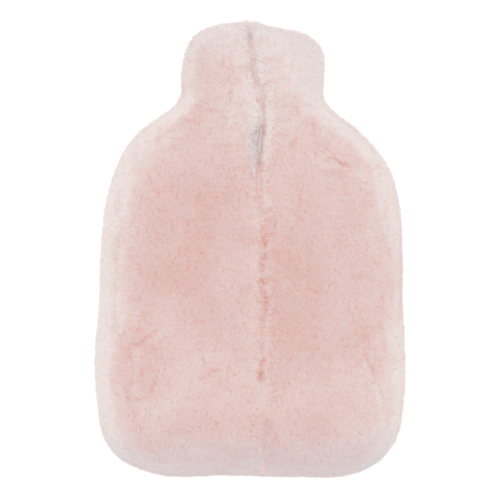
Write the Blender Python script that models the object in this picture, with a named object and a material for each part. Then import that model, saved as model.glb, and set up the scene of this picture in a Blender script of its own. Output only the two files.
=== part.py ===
"""Sheepskin cover for a two litre hot water bottle, zipped shut and lying on its front.

The maker cuts three skins: one for the front and two halves for the back. The halves meet
on a long zip that runs down from the neck, and all three are sewn together round the side
at half their height. The wool is outside and the leather inside, so each skin here is one
shell as thick as its leather and wool together, and the bottle's pocket is left open
between them. +X is to the right and +Y towards the neck, seen from above with the zip up.
"""

import math

import bmesh
import bpy
import numpy as np
from mathutils import Vector, noise

MM = 0.001

# Driving sizes, in millimetres.
SEAM_HEIGHT = 30.0  # the side seam, above the surface that the cover lies on
SEAM_GAP = 0.3  # between pieces that lie edge to edge
WOOL = 17.0  # leather and standing wool together
PRESSED_WOOL = 12.0  # the same under the cover, where its weight flattens the wool
SIDE_ROUND = 42.0  # how far in from the side the top is still rounding over
END_ROUND = 40.0  # the same from the neck's top and from the base
UNDER_ROUND = 29.0  # the same below the seam, down to the flat that the cover lies on
POCKET_ROUND = 27.0  # the same for the leather, in from the pocket's own side
CROWN = 5.0  # how much higher the middle stands than the shoulders of the side's round
LUMP_HEIGHT = 2.0
LUMP_LENGTH = 36.0

# The outline of the wool, section by section: the reach to the left and to the right of the
# middle at that height, and how far the back rises over the side seam there.
# place, y, left, right, rise
SECTIONS = (
    ("neck corner", 166.0, -53.5, 61.0, 25.0),
    ("neck side", 148.0, -58.0, 63.0, 27.0),
    ("neck waist", 128.0, -58.3, 61.5, 26.0),
    ("neck root", 116.5, -64.5, 66.5, 27.0),
    ("shoulder slope", 102.0, -86.5, 86.0, 29.0),
    ("shoulder", 86.0, -102.7, 102.5, 31.0),
    ("shoulder end", 66.0, -113.0, 117.0, 32.0),
    ("upper side", 41.0, -120.3, 124.2, 32.5),
    ("middle", 0.0, -124.9, 127.5, 33.0),
    ("waist", -45.0, -126.4, 127.5, 33.0),
    ("hip", -85.0, -129.6, 129.6, 33.0),
    ("lower side", -132.0, -127.2, 128.0, 31.5),
    ("base corner", -158.0, -122.0, 122.4, 30.0),
)
# The neck's top edge from left to right, then the base from right to left.
# place, x, y
NECK_TOP = (
    ("left corner", -47.0, 177.6),
    ("left", -33.5, 185.8),
    ("crown", -5.0, 190.0),
    ("right slope", 24.0, 184.9),
    ("right corner", 51.0, 176.6),
)
BASE = (
    ("right corner", 113.8, -171.5),
    ("right", 94.0, -184.7),
    ("right of middle", 42.0, -190.0),
    ("left of middle", -20.0, -188.8),
    ("left", -85.0, -185.6),
    ("left corner", -112.5, -171.5),
)

# The zip runs straight but for one bend under the neck. The wool of the two halves closes
# over it, along a line that wanders.
ZIP_AT_NECK = 2.0
ZIP_AT_BODY = 10.5
ZIP_BEND = (168.0, 112.0)
ZIP_ENDS = (160.0, -113.0)
# place, y, x
WOOL_LINE = (
    ("neck top", 190.0, 0.5),
    ("neck", 154.0, 3.8),
    ("neck root", 124.0, 11.0),
    ("slider", 108.0, 12.0),
    ("parting", 88.0, 9.8),
    ("shoulder", 66.0, 8.3),
    ("upper middle", 9.0, 13.5),
    ("middle", -19.0, 10.6),
    ("lower middle", -44.0, 13.6),
    ("hip", -68.0, 10.4),
    ("base", -190.0, 10.4),
)
CREASE_DEPTH = 5.0  # the wool of the two halves rolls over into a crease along this line
CREASE_WIDTH = 4.2
SEWN_CREASE = 0.35  # below the zip the halves are sewn, and this share of the crease is left
LEATHER_GAP = 3.2  # half the space between the leather edges, where the zip's teeth run
LEATHER_FADE = 12.0  # how far past the zip's ends they come together
# At the shoulder the wool is parted round the zip's slider and its pull.
PARTING = (112.0, 76.0)
PARTING_FADE = 12.0
PARTED_LEFT = 5.2  # how far each half's wool then stands off the line
PARTED_RIGHT = 2.6
PARTED_LEATHER = 5.2

# Creases where the skin has folded or the wool lies apart.
# place, x and y of one end, x and y of the other, depth, width
CREASES = (
    ("left side, upper", -108.0, 34.0, -109.5, -22.0, 2.0, 4.0),
    ("left side, lower", -110.0, -30.0, -111.5, -68.0, 3.0, 4.5),
    ("left hip, slanting", -98.0, -80.0, -74.0, -66.0, 2.6, 4.0),
    ("left hip, upright", -99.5, -84.0, -98.0, -116.0, 2.2, 4.5),
    ("left hip, level", -97.0, -122.0, -80.0, -117.0, 2.2, 4.0),
    ("right shoulder", 58.0, 74.0, 87.0, 68.0, 2.4, 4.5),
    ("right hip, slanting", 93.0, -84.0, 112.0, -124.0, 2.0, 4.5),
    ("left of the zip", -40.0, -88.0, -27.0, -101.0, 1.8, 4.0),
)

TAPE_WIDTH = 24.0
TAPE_THICK = 0.9
TEETH_WIDTH = 4.6
TEETH_HEIGHT = 1.6
ZIP_CLEARANCE = 1.2
SLIDER_Y = 107.5
SLIDER_SIZE = (8.4, 11.0, 3.6)
PULL_TOP = 105.0
PULL_LENGTH = 26.0
PULL_WIDTH = 3.8
PULL_THICK = 1.2
PULL_RISE = 3.0  # the pull's free end lies this much higher, on the wool
PULL_SWING = -3.0  # and this much to the left
PULL_EYE = 1.1  # half the width of the eye that the slider's bail goes through

# How finely the skins are cut into faces.
CREASE_STEPS = (0.0, 2.5, 6.0, 11.0)
BACK_COLUMNS = 8
BACK_ROWS = 33
FRONT_COLUMNS = 5
FRONT_ROWS = 24
ROUND_STEPS = 6
SPLINE_STEPS = 12

ROUND_PARTS = np.array([1 - math.cos(math.pi / 2 * k / ROUND_STEPS) for k in range(ROUND_STEPS + 1)])


def clear_scene():
    for old in list(bpy.data.objects):
        bpy.data.objects.remove(old)


def material(name, colour, roughness, metallic=0.0):
    made = bpy.data.materials.new(name)
    made.use_nodes = True
    shader = made.node_tree.nodes["Principled BSDF"]
    shader.inputs["Base Color"].default_value = (*colour, 1)
    shader.inputs["Roughness"].default_value = roughness
    shader.inputs["Metallic"].default_value = metallic
    return made


def closed_spline(points):
    """A smooth closed curve through the points, with SPLINE_STEPS places for each of them."""
    before, after = np.roll(points, 1, axis=0), np.roll(points, -1, axis=0)
    step = np.linalg.norm(after - points, axis=1)[:, None]
    step_before = np.roll(step, 1, axis=0)
    slope = (points - before) / step_before * step + (after - points) / step * step_before
    slope /= step + step_before
    slope_after = np.roll(slope, -1, axis=0)
    places = []
    for t in np.arange(SPLINE_STEPS) / SPLINE_STEPS:
        places.append(
            (2 * t**3 - 3 * t**2 + 1) * points
            + (t**3 - 2 * t**2 + t) * slope * step
            + (3 * t**2 - 2 * t**3) * after
            + (t**3 - t**2) * slope_after * step
        )
    return np.stack(places, axis=1).reshape(-1, 2)


def edges_of(inset):
    """The outline's top, right, base and left edges, moved in by inset."""
    top = [(x, y) for _, x, y in NECK_TOP]
    right = [(right, y) for _, y, _, right, _ in SECTIONS]
    base = [(x, y) for _, x, y in BASE]
    left = [(left, y) for _, y, left, _, _ in reversed(SECTIONS)]
    loop = np.array(top + right + base + left)
    along = np.roll(loop, -1, axis=0) - np.roll(loop, 1, axis=0)
    along /= np.linalg.norm(along, axis=1)[:, None]
    loop += inset * np.stack([along[:, 1], -along[:, 0]], axis=1)
    line = np.concatenate([closed_spline(loop)] * 2)
    start = (len(top) + np.array([0, len(right) - 1, len(right) + len(base)])) * SPLINE_STEPS
    whole = len(loop) * SPLINE_STEPS
    return {
        "right": line[start[0] : start[1] + 1],
        "base": line[start[1] : start[2] + 1],
        "left": line[start[2] : whole - SPLINE_STEPS + 1],
        "top": line[whole - SPLINE_STEPS : start[0] + whole + 1],
    }


def on_edge(edge, axis, value):
    """The edge's points where its x (axis 0) or its y (axis 1) has these values."""
    ordered = edge[np.argsort(edge[:, axis], kind="stable")]
    other = np.interp(value, ordered[:, axis], ordered[:, 1 - axis])
    pair = (value, other) if axis == 0 else (other, value)
    return np.stack(np.broadcast_arrays(*pair), axis=-1)


def smooth(t):
    t = np.clip(t, 0, 1)
    return t * t * (3 - 2 * t)


def zip_line(y):
    start, end = ZIP_BEND
    return ZIP_AT_NECK + (ZIP_AT_BODY - ZIP_AT_NECK) * smooth((start - y) / (start - end))


def wool_line(y):
    """Where the wool of the two halves meets: a smooth line through WOOL_LINE."""
    x = WOOL_LINE[0][2] + 0 * y
    for (_, y1, x1), (_, y2, x2) in zip(WOOL_LINE, WOOL_LINE[1:]):
        x = x + (x2 - x1) * smooth((y1 - y) / (y1 - y2))
    return x


def parting(y):
    """1 where the wool is parted at the shoulder, 0 away from there."""
    above, below = PARTING
    return smooth((above + PARTING_FADE - y) / PARTING_FADE) * smooth((y - below + PARTING_FADE) / PARTING_FADE)


def wool_edge(side, y):
    """The x of one half's wool where it meets the other half."""
    sign, parted = (-1, PARTED_LEFT) if side == "left" else (1, PARTED_RIGHT)
    return wool_line(y) + sign * (SEAM_GAP / 2 + (parted - SEAM_GAP / 2) * parting(y))


def leather_edge(side, y):
    """The x of one half's leather, which stands off the zip's teeth and slider."""
    sign = -1 if side == "left" else 1
    above, below = ZIP_ENDS
    sewn = np.maximum(smooth((y - above) / LEATHER_FADE), smooth((below - y) / LEATHER_FADE))
    gap = LEATHER_GAP + (PARTED_LEATHER - LEATHER_GAP) * parting(y)
    return zip_line(y) + sign * (gap + (SEAM_GAP / 2 - gap) * sewn)


def middle_edge(side, y):
    """The x of the line down the middle of the front, which has no seam."""
    return zip_line(y)


def rounding(distance, reach):
    """A quarter ellipse: 0 at the edge, and 1 from reach inwards."""
    left = 1 - np.clip(distance / reach, 0, 1)
    return np.sqrt(1 - left * left)


def half_grid(side, inset, meeting, round_over, near, columns, rows):
    """The points of one half from its middle edge out to the side, in rows from neck to base.

    It gives their x and y, their distance from the middle edge as a length and as a share of
    the way to the side, and how far the skin has rounded over there, from 0 to 1."""
    side_round, end_round = round_over
    edges = edges_of(inset)
    crown = on_edge(edges["top"], 0, ZIP_AT_NECK)
    foot = on_edge(edges["base"], 0, ZIP_AT_BODY)
    length = crown[1] - foot[1]
    near_end = end_round * ROUND_PARTS
    along = np.linspace(end_round, length - end_round, rows + 1)[1:-1]
    down = np.concatenate([near_end, along, length - near_end[::-1]])
    v = down / length
    y = crown[1] - down
    seam = np.stack([meeting(side, y), y], axis=1)
    rim = on_edge(edges[side], 1, edges[side][:, 1].max() - v * np.ptp(edges[side][:, 1]))
    seam[0] = on_edge(edges["top"], 0, seam[0, 0])
    seam[-1] = on_edge(edges["base"], 0, seam[-1, 0])
    across = np.linalg.norm(rim - seam, axis=1)[:, None]
    reach = np.minimum(side_round, 0.62 * across)
    outer = across - reach * ROUND_PARTS[::-1]
    inner = np.broadcast_to(near, (len(v), len(near)))
    share = np.arange(1, columns) / columns
    middle = inner[:, -1:] + (outer[:, :1] - inner[:, -1:]) * share
    out = np.concatenate([inner, middle, outer], axis=1)
    u, v = (out / across)[..., None], v[:, None, None]
    grid = (1 - u) * seam[:, None] + u * rim[:, None]
    for end, name, weight in ((0, "top", 1 - v), (-1, "base", v)):
        chord = (1 - u) * seam[end] + u * rim[end]
        grid = grid + weight * (on_edge(edges[name], 0, chord[..., 0]) - chord)
    over = rounding(across - out, reach) * rounding(np.minimum(down, length - down), end_round)[:, None]
    return grid, out, out / across, over


def rise(y, share):
    """How far the back's wool stands over the side seam, before its edges round over."""
    heights = np.array([(y, rise) for _, y, _, _, rise in reversed(SECTIONS)])
    return np.interp(y, heights[:, 0], heights[:, 1]) + CROWN * (1 - share * share)


def lumps(grid):
    """The uneven surface of the wool, in soft lumps."""
    flat = [noise.noise(Vector((x / LUMP_LENGTH, y / LUMP_LENGTH, 0))) for x, y in grid.reshape(-1, 2)]
    return LUMP_HEIGHT * np.array(flat).reshape(grid.shape[:2])


def zip_crease(y, out):
    """How deep the wool dips at this distance from the line where the halves meet."""
    sewn = smooth((ZIP_ENDS[1] - y) / END_ROUND)
    depth = CREASE_DEPTH * (1 - (1 - SEWN_CREASE) * sewn)
    return depth * np.exp(-((out / CREASE_WIDTH) ** 2))


def folds(grid):
    """How deep the creases of the table are at each point."""
    dip = np.zeros(grid.shape[:2])
    for _, x1, y1, x2, y2, depth, width in CREASES:
        start, run = np.array([x1, y1]), np.array([x2 - x1, y2 - y1])
        share = np.clip((grid - start) @ run / (run @ run), 0, 1)
        away = np.linalg.norm(grid - start - share[..., None] * run, axis=2)
        dip = np.maximum(dip, depth * np.exp(-((away / width) ** 2)))
    return dip


def with_height(grid, height):
    return np.concatenate([grid, height[..., None]], axis=2) * MM


def back_outside(side):
    round_over = (SIDE_ROUND, END_ROUND)
    grid, out, share, over = half_grid(side, 0, wool_edge, round_over, CREASE_STEPS, BACK_COLUMNS, BACK_ROWS)
    y = grid[..., 1]
    top = rise(y, share) + lumps(grid) - zip_crease(y, out) - folds(grid)
    return with_height(grid, SEAM_HEIGHT + SEAM_GAP / 2 + top * over)


def back_inside(side):
    round_over = (POCKET_ROUND, POCKET_ROUND)
    grid, _, share, over = half_grid(
        side, WOOL, leather_edge, round_over, CREASE_STEPS, BACK_COLUMNS, BACK_ROWS
    )
    return with_height(grid, SEAM_HEIGHT + SEAM_GAP / 2 + (rise(grid[..., 1], share) - WOOL) * over)


def front_outside(side):
    round_over = (UNDER_ROUND, UNDER_ROUND)
    grid, _, _, over = half_grid(side, 0, middle_edge, round_over, (0.0,), FRONT_COLUMNS, FRONT_ROWS)
    return with_height(grid, (SEAM_HEIGHT - SEAM_GAP / 2) * (1 - over))


def front_inside(side):
    round_over = (POCKET_ROUND, POCKET_ROUND)
    grid, _, _, over = half_grid(side, WOOL, middle_edge, round_over, (0.0,), FRONT_COLUMNS, FRONT_ROWS)
    height = SEAM_HEIGHT - SEAM_GAP / 2
    return with_height(grid, height - (height - PRESSED_WOOL) * over)


def border(grid):
    """The points round a grid's edge: along the first row, and back by the first column."""
    return np.concatenate([grid[0, :-1], grid[:-1, -1], grid[-1, :0:-1], grid[:0:-1, 0]])


def add_object(name, made, finish):
    bmesh.ops.recalc_face_normals(made, faces=made.faces)
    mesh = bpy.data.meshes.new(name)
    made.to_mesh(mesh)
    made.free()
    mesh.materials.append(finish)
    mesh.shade_smooth()
    mesh.set_sharp_from_angle(angle=math.radians(50))
    added = bpy.data.objects.new(name, mesh)
    bpy.context.scene.collection.objects.link(added)
    return added


def join_loops(made, first, second):
    """Closes the strip between two loops of as many vertices."""
    for k in range(len(first)):
        made.faces.new([first[k], first[k - 1], second[k - 1], second[k]])


def add_shell(name, outside, inside, bands, finish):
    """A skin: its outside and inside grids, joined round the edge by loops of points."""
    made = bmesh.new()

    def vertices(points):
        return [made.verts.new(p) for p in points.reshape(-1, 3)]

    loops = []
    for grid in (outside, inside):
        rows, columns = grid.shape[:2]
        index = np.arange(rows * columns).reshape(rows, columns)
        points = vertices(grid)
        corners = (index[:-1, :-1], index[1:, :-1], index[1:, 1:], index[:-1, 1:])
        for face in zip(*(corner.flat for corner in corners)):
            made.faces.new([points[k] for k in face])
        loops.append([points[k] for k in border(index)])
    loops[1:1] = [vertices(band) for band in bands]
    for first, second in zip(loops, loops[1:]):
        join_loops(made, first, second)
    return add_object(name, made, finish)


def add_back_half(side, finish):
    """One half of the back. Its leather stands off the zip's teeth, and its wool closes over them."""
    outside, inside = back_outside(side), back_inside(side)
    wool, leather = border(outside), border(inside)
    walls = [leather + share * (wool - leather) for share in (0.62, 0.38)]
    rows = len(outside)
    for wall, grid in zip(walls, (outside, inside)):
        wall[-(rows - 1) :, 0] = grid[:0:-1, 0, 0]
        wall[0, 0] = grid[0, 0, 0]
    return add_shell(f"back_{side}_skin", outside, inside, walls, finish)


def add_front(finish):
    """The front skin, as one dish whose wool is pressed flat under the cover."""
    grids = []
    for make in (front_outside, front_inside):
        grids.append(np.concatenate([make("left")[:, :0:-1], make("right")], axis=1))
    return add_shell("front_skin", *grids, [], finish)


def zip_height(y):
    """The top of the zip's tape, just under the back's leather."""
    edges = edges_of(WOOL)
    ends = [on_edge(edges[name], 0, zip_line(y))[..., 1] for name in ("top", "base")]
    near = np.minimum(ends[0] - y, y - ends[1])
    return SEAM_HEIGHT + (rise(y, 0) - WOOL) * rounding(near, POCKET_ROUND) - ZIP_CLEARANCE


def add_tape(finish):
    """The closed zip: its tape, sewn under the leather edges, and the row of teeth in the middle."""
    half_tape, half_teeth = TAPE_WIDTH / 2, TEETH_WIDTH / 2
    section = (
        (-half_tape, -TAPE_THICK),
        (half_tape, -TAPE_THICK),
        (half_tape, 0),
        (half_teeth, 0),
        (half_teeth * 0.8, TEETH_HEIGHT),
        (-half_teeth * 0.8, TEETH_HEIGHT),
        (-half_teeth, 0),
        (-half_tape, 0),
    )
    made = bmesh.new()
    rings = []
    for y in np.linspace(*ZIP_ENDS, FRONT_ROWS + 1):
        height = zip_height(y)
        rings.append([made.verts.new(Vector((zip_line(y) + x, y, height + z)) * MM) for x, z in section])
    for first, second in zip(rings, rings[1:]):
        join_loops(made, first, second)
    for end in (rings[0], rings[-1]):
        made.faces.new(end)
    return add_object("zip_tape", made, finish)


def on_teeth(y):
    """The height just clear of the zip's teeth."""
    return zip_height(y) + TEETH_HEIGHT + SEAM_GAP


def add_slider(finish):
    """The zip's slider, on the teeth under the parted wool."""
    made = bmesh.new()
    bmesh.ops.create_cube(made, size=1)
    width, length, thick = SLIDER_SIZE
    low, high = on_teeth(SLIDER_Y - length / 2), on_teeth(SLIDER_Y + length / 2)
    for v in made.verts:
        x, y, z = v.co
        floor = low + (high - low) * (y + 0.5)
        v.co = Vector((zip_line(SLIDER_Y) + x * width, SLIDER_Y + y * length, floor + (z + 0.5) * thick)) * MM
    bmesh.ops.bevel(made, geom=made.edges[:], offset=MM, segments=2, profile=0.5, affect="EDGES")
    return add_object("zip_slider", made, finish)


def add_pull(finish):
    """The pull: a narrow tab with round ends and an eye, lying along the parted wool."""
    radius = PULL_WIDTH / 2
    arc = [math.pi * k / 6 for k in range(7)]
    outline = [(radius * math.cos(a), radius * math.sin(a) - radius) for a in arc]
    outline += [(-radius * math.cos(a), radius - PULL_LENGTH - radius * math.sin(a)) for a in arc]
    turn = [2 * math.pi * k / len(outline) for k in range(len(outline))]
    eye = [(PULL_EYE * math.cos(a), PULL_EYE * math.sin(a) - radius) for a in turn]
    middle = zip_line(SLIDER_Y)
    floor = on_teeth(SLIDER_Y - SLIDER_SIZE[1] / 2) + SLIDER_SIZE[2] + SEAM_GAP
    made = bmesh.new()

    def loop(points, lift):
        places = []
        for x, y in points:
            down = -y / PULL_LENGTH
            places.append((middle + x + PULL_SWING * down, PULL_TOP + y, floor + lift + PULL_RISE * down))
        return [made.verts.new(Vector(place) * MM) for place in places]

    loops = [loop(outline, 0), loop(outline, PULL_THICK), loop(eye, PULL_THICK), loop(eye, 0)]
    for first, second in zip(loops, loops[1:] + loops[:1]):
        join_loops(made, first, second)
    return add_object("zip_pull", made, finish)


clear_scene()
wool = material("pink wool", (0.78, 0.53, 0.50), 0.95)
tape = material("grey zip tape", (0.42, 0.40, 0.41), 0.8)
metal = material("dull zip metal", (0.62, 0.62, 0.63), 0.4, 1.0)
add_front(wool)
add_back_half("left", wool)
add_back_half("right", wool)
add_tape(tape)
add_slider(metal)
add_pull(metal)
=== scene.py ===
"""A pink sheepskin cover for a hot water bottle, zipped shut and lying on its front."""

import math

import bmesh
import bpy
import numpy as np
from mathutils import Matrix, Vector, noise
from mathutils.bvhtree import BVHTree


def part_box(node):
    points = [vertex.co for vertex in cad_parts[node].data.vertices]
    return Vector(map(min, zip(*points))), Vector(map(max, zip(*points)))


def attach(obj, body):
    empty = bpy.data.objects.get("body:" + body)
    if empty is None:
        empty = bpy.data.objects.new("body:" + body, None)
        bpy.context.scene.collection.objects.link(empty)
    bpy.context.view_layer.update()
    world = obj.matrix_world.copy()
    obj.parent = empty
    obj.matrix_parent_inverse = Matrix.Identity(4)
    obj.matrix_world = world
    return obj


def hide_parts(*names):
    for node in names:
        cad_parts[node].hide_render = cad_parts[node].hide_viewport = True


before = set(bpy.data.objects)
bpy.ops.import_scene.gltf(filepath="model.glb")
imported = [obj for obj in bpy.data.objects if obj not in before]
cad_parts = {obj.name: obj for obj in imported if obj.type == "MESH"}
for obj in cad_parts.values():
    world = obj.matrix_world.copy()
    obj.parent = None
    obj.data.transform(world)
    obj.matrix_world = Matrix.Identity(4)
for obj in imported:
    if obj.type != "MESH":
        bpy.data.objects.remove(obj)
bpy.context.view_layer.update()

# ------------------------------
# The table and the light. The cover lies on a plain white lit table and is seen from
# straight above, with the neck away from the viewer. The light is soft and comes from all
# round, a little stronger from above the neck's left.
SEAM_LEVEL = 0.030  # the height of the cover's side seam, which the camera is set by
VIEW_WIDTH = 0.41667  # what the picture takes in across at that height
LENS, SENSOR = 200, 36
CAMERA_NEAR, CAMERA_FAR = 0.05, 40
ROOM_COLOUR, ROOM_LIGHT = (1.0, 0.99, 0.985), 0.41
LAMP_PLACE, LAMP_SIZE, LAMP_WATTS = (-0.05, 0.1, 2.0), 0.6, 13.5
TABLE_HALF = 4
TABLE_COLOUR, TABLE_ROUGHNESS = (0.9, 0.9, 0.9), 0.6
TABLE_GLOW = 0.6  # the table is lit from below as well


def show(name, data):
    """Puts a new piece in the scene."""
    piece = bpy.data.objects.new(name, data)
    bpy.context.scene.collection.objects.link(piece)
    return piece


camera_data = bpy.data.cameras.new("camera")
camera_data.lens, camera_data.sensor_width = LENS, SENSOR
camera_data.clip_start, camera_data.clip_end = CAMERA_NEAR, CAMERA_FAR
camera = show("camera", camera_data)
camera.location = (0, 0, SEAM_LEVEL + VIEW_WIDTH * LENS / SENSOR)
bpy.context.scene.camera = camera
bpy.context.scene.view_settings.view_transform = "Standard"

room = bpy.data.worlds.new("white room")
room.use_nodes = True
room_light = room.node_tree.nodes["Background"]
room_light.inputs["Color"].default_value = (*ROOM_COLOUR, 1)
room_light.inputs["Strength"].default_value = ROOM_LIGHT
bpy.context.scene.world = room

lamp_data = bpy.data.lights.new("softbox overhead", "AREA")
lamp_data.size, lamp_data.energy = LAMP_SIZE, LAMP_WATTS
lamp = show("softbox overhead", lamp_data)
lamp.location = LAMP_PLACE
lamp.rotation_euler = (-Vector(LAMP_PLACE)).to_track_quat("-Z", "Y").to_euler()

table_mesh = bpy.data.meshes.new("table")
table_corners = [(x * TABLE_HALF, y * TABLE_HALF, 0) for x, y in ((-1, -1), (1, -1), (1, 1), (-1, 1))]
table_mesh.from_pydata(table_corners, [], [(0, 1, 2, 3)])
table = show("table", table_mesh)
table_finish = bpy.data.materials.new("white lit table")
table_finish.use_nodes = True
table_shader = table_finish.node_tree.nodes["Principled BSDF"]
for name, value in (
    ("Base Color", (*TABLE_COLOUR, 1)), ("Roughness", TABLE_ROUGHNESS),
    ("Emission Color", (1, 1, 1, 1)), ("Emission Strength", TABLE_GLOW),
):
    table_shader.inputs[name].default_value = value
table_mesh.materials.append(table_finish)

# ------------------------------
# The three skins. Each is a sheepskin cut to shape, the wool outside and the suede side
# inside: one front, which lies on the table, and a back in two halves. This is the leather
# with the dense foot of its wool; the standing wool is made after it.
MM = 0.001  # from here on sizes are in mm, but for those that a comment gives in metres
SEAM = SEAM_LEVEL / MM
SKINS = (
    # node, width of the net's faces, flat width and length and flat area of the cut in metres
    ("back_left_skin", 3.2, (0.17, 0.42), 0.056),
    ("back_right_skin", 3.2, (0.17, 0.42), 0.050),
    ("front_skin", 4.0, (0.30, 0.42), 0.097),
)
WOOL_FOOT = 3.0  # how far the standing wool's roots lie under its tips
PRESSED_FOOT = 1.0  # the same under the cover, where its weight has pressed the wool flat
RIM_FOOT = 1.6  # how much deeper the roots lie at the rim, where the wool is loose
LEATHER_BACK = 12.0  # a face that looks at another skin further off than this is leather
OPEN_AIR = 900.0  # a face that looks at nothing nearer than this is on the outside
BARE_TO, WOOLLY_FROM = 2.5, 6.5  # how far off the next skin a face is bare, and woolly again
HALVES_EDGE = 12.0  # how far from the line where the halves meet wool covers their rounded edges
SEAM_BAND = 5.0  # how far above and below the side seam the skins' edges are drawn in
FOOT_LUMPS = ((9, 0.8, 1), (4.5, 0.5, 2))  # width, height and seed
FOLD_SHARE = 0.6  # how much of a fold's depth the wool's foot takes part in
SPINE = ((-15, -110), (15, 165))  # corners of the cover's middle, which its sides look away from
HALVES_SPINE = (-100, 140)  # the same along the edges where the halves meet
OUTSIDE = 30.0  # how far outside the outline a ray starts that looks for it
WELD = 1e-6  # corners of the CAD's triangles nearer than this, in metres, are one

# Folds in the skins: place, x and y of the ends, depth and half the width.
FOLDS = (
    ("left side, upper", -108, 34, -109.5, -22, 0.4, 4),
    ("left side, lower", -110, -30, -111.5, -68, 0.8, 4.5),
    ("left hip, slanting", -98, -80, -74, -66, 1.4, 4),
    ("left hip, upright", -99.5, -84, -98, -116, 1.2, 4.5),
    ("left hip, level", -97, -122, -80, -117, 1.2, 4.2),
    ("right shoulder", 58, 74, 87, 68, 1.4, 4.5),
    ("right hip, slanting", 93, -84, 112, -124, 1.2, 4.5),
    ("left of the zip", -40, -88, -27, -101, 1, 4),
)
# Where the two halves' wool meets: y and x down the middle.
MEETING = (
    (190, 0.5), (154, 3.8), (124, 11), (108, 12), (88, 9.8), (66, 8.3),
    (9, 13.5), (-19, 10.6), (-44, 13.6), (-68, 10.4), (-190, 10.4),
)


def smooth(t):
    """A smooth step from 0 to 1 while t goes from 0 to 1."""
    t = np.clip(t, 0, 1)
    return t * t * (3 - 2 * t)


def bell(*offs, power=2):
    """1 where all the values are 0, falling to nothing as any of them passes 1 or -1."""
    return np.exp(-sum(off**power for off in offs))


def meeting_line(y):
    """The x of the line where the wool of the back's halves meets."""
    x = MEETING[0][1] + 0 * y
    for (y1, x1), (y2, x2) in zip(MEETING, MEETING[1:]):
        x = x + (x2 - x1) * smooth((y1 - y) / (y1 - y2))
    return x


def uneven(points, size, seed):
    """A smooth random value from about -1 to 1 for each point, in lumps of that size."""
    shift = Vector((seed * 17.3, seed * 5.1, seed * 9.7))
    return np.array([noise.noise(Vector(p) / size + shift) for p in points]) * 1.6


def from_segment(points, ends):
    """Each point's distance from a segment."""
    start, run = np.array(ends[:2]), np.array(ends[2:]) - ends[:2]
    share = np.clip((points - start) @ run / (run @ run), 0, 1)
    return np.linalg.norm(points - start - share[:, None] * run, axis=1)


def points_of(mesh):
    """The places of a mesh's vertices in mm, and their normals."""
    co, normal = np.empty((2, len(mesh.vertices) * 3))
    mesh.vertices.foreach_get("co", co)
    mesh.vertex_normals.foreach_get("vector", normal)
    return co.reshape(-1, 3) / MM, normal.reshape(-1, 3)


def put(mesh, name, values):
    """Stores one value for each vertex, or one vector."""
    kind, field = ("FLOAT", "value") if values.ndim == 1 else ("FLOAT_VECTOR", "vector")
    made = mesh.attributes.get(name) or mesh.attributes.new(name, kind, "POINT")
    made.data.foreach_set(field, values.astype(np.float32).ravel())


def take(mesh, name):
    """Reads back one stored value for each vertex."""
    found = np.empty(len(mesh.vertices))
    mesh.attributes[name].data.foreach_get("value", found)
    return found


def welded(node):
    """A CAD solid with the corners of its loose triangles joined."""
    made = bmesh.new()
    made.from_mesh(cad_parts[node].data)
    bmesh.ops.remove_doubles(made, verts=made.verts, dist=WELD)
    return made


def remeshed(node, width):
    """A copy of a CAD solid with an even net of small faces."""
    made = welded(node)
    source = bpy.data.meshes.new(node + "_net")
    made.to_mesh(source)
    made.free()
    piece = show(node + "_net", source)
    net = piece.modifiers.new("net", "REMESH")
    net.mode, net.voxel_size = "VOXEL", width * MM
    graph = bpy.context.evaluated_depsgraph_get()
    mesh = bpy.data.meshes.new_from_object(piece.evaluated_get(graph))
    bpy.data.objects.remove(piece)
    return mesh


def outer_rim(points, flat):
    """1 on the steep outer sides of the cover, 0 on its top and where the halves meet."""
    x, y = points[:, 0], points[:, 1]
    middle = bell((x - meeting_line(y)) / 10, power=4) * smooth((170 - np.abs(y + 5)) / 10)
    return smooth((flat - 0.7) / 0.3) * (1 - middle)


def from_outline(points, tree):
    """How far inside its skin's outline each point at the side seam lies, and the way out."""
    away = points[:, :2] - np.clip(points[:, :2], *SPINE)
    away /= np.maximum(np.linalg.norm(away, axis=1), 1e-3)[:, None]
    out = np.column_stack([away, np.zeros(len(away))])
    level = SEAM + np.where(points[:, 2] > SEAM, 0.5, -0.5) * SEAM_BAND
    found = np.full(len(points), 99.0)
    for k in np.flatnonzero(np.abs(points[:, 2] - SEAM) < SEAM_BAND):
        start = Vector((points[k, 0], points[k, 1], level[k])) * MM + Vector(out[k]) * (OUTSIDE * MM)
        hit = tree.ray_cast(start, -Vector(out[k]), 2 * OUTSIDE * MM)
        if hit[0] is not None:
            found[k] = OUTSIDE - hit[3] / MM
    return found, out


solid_trees = {}
for name, *_ in SKINS:
    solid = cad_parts[name].data
    corners = [v.co for v in solid.vertices]
    solid_trees[name] = BVHTree.FromPolygons(corners, [p.vertices for p in solid.polygons])


def facing(points, normals):
    """How far each point's normal runs before it meets a skin, in mm."""
    clear, furthest = 0.6, 300
    found = np.full(len(points), 1e3)
    for k, (p, n) in enumerate(zip(points, normals)):
        p, n = Vector(p), Vector(n)
        for tree in solid_trees.values():
            hit = tree.ray_cast(p * MM + n * (clear * MM), n, furthest * MM)
            if hit[0] is not None:
                found[k] = min(found[k], hit[3] / MM + clear)
    return found


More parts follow.
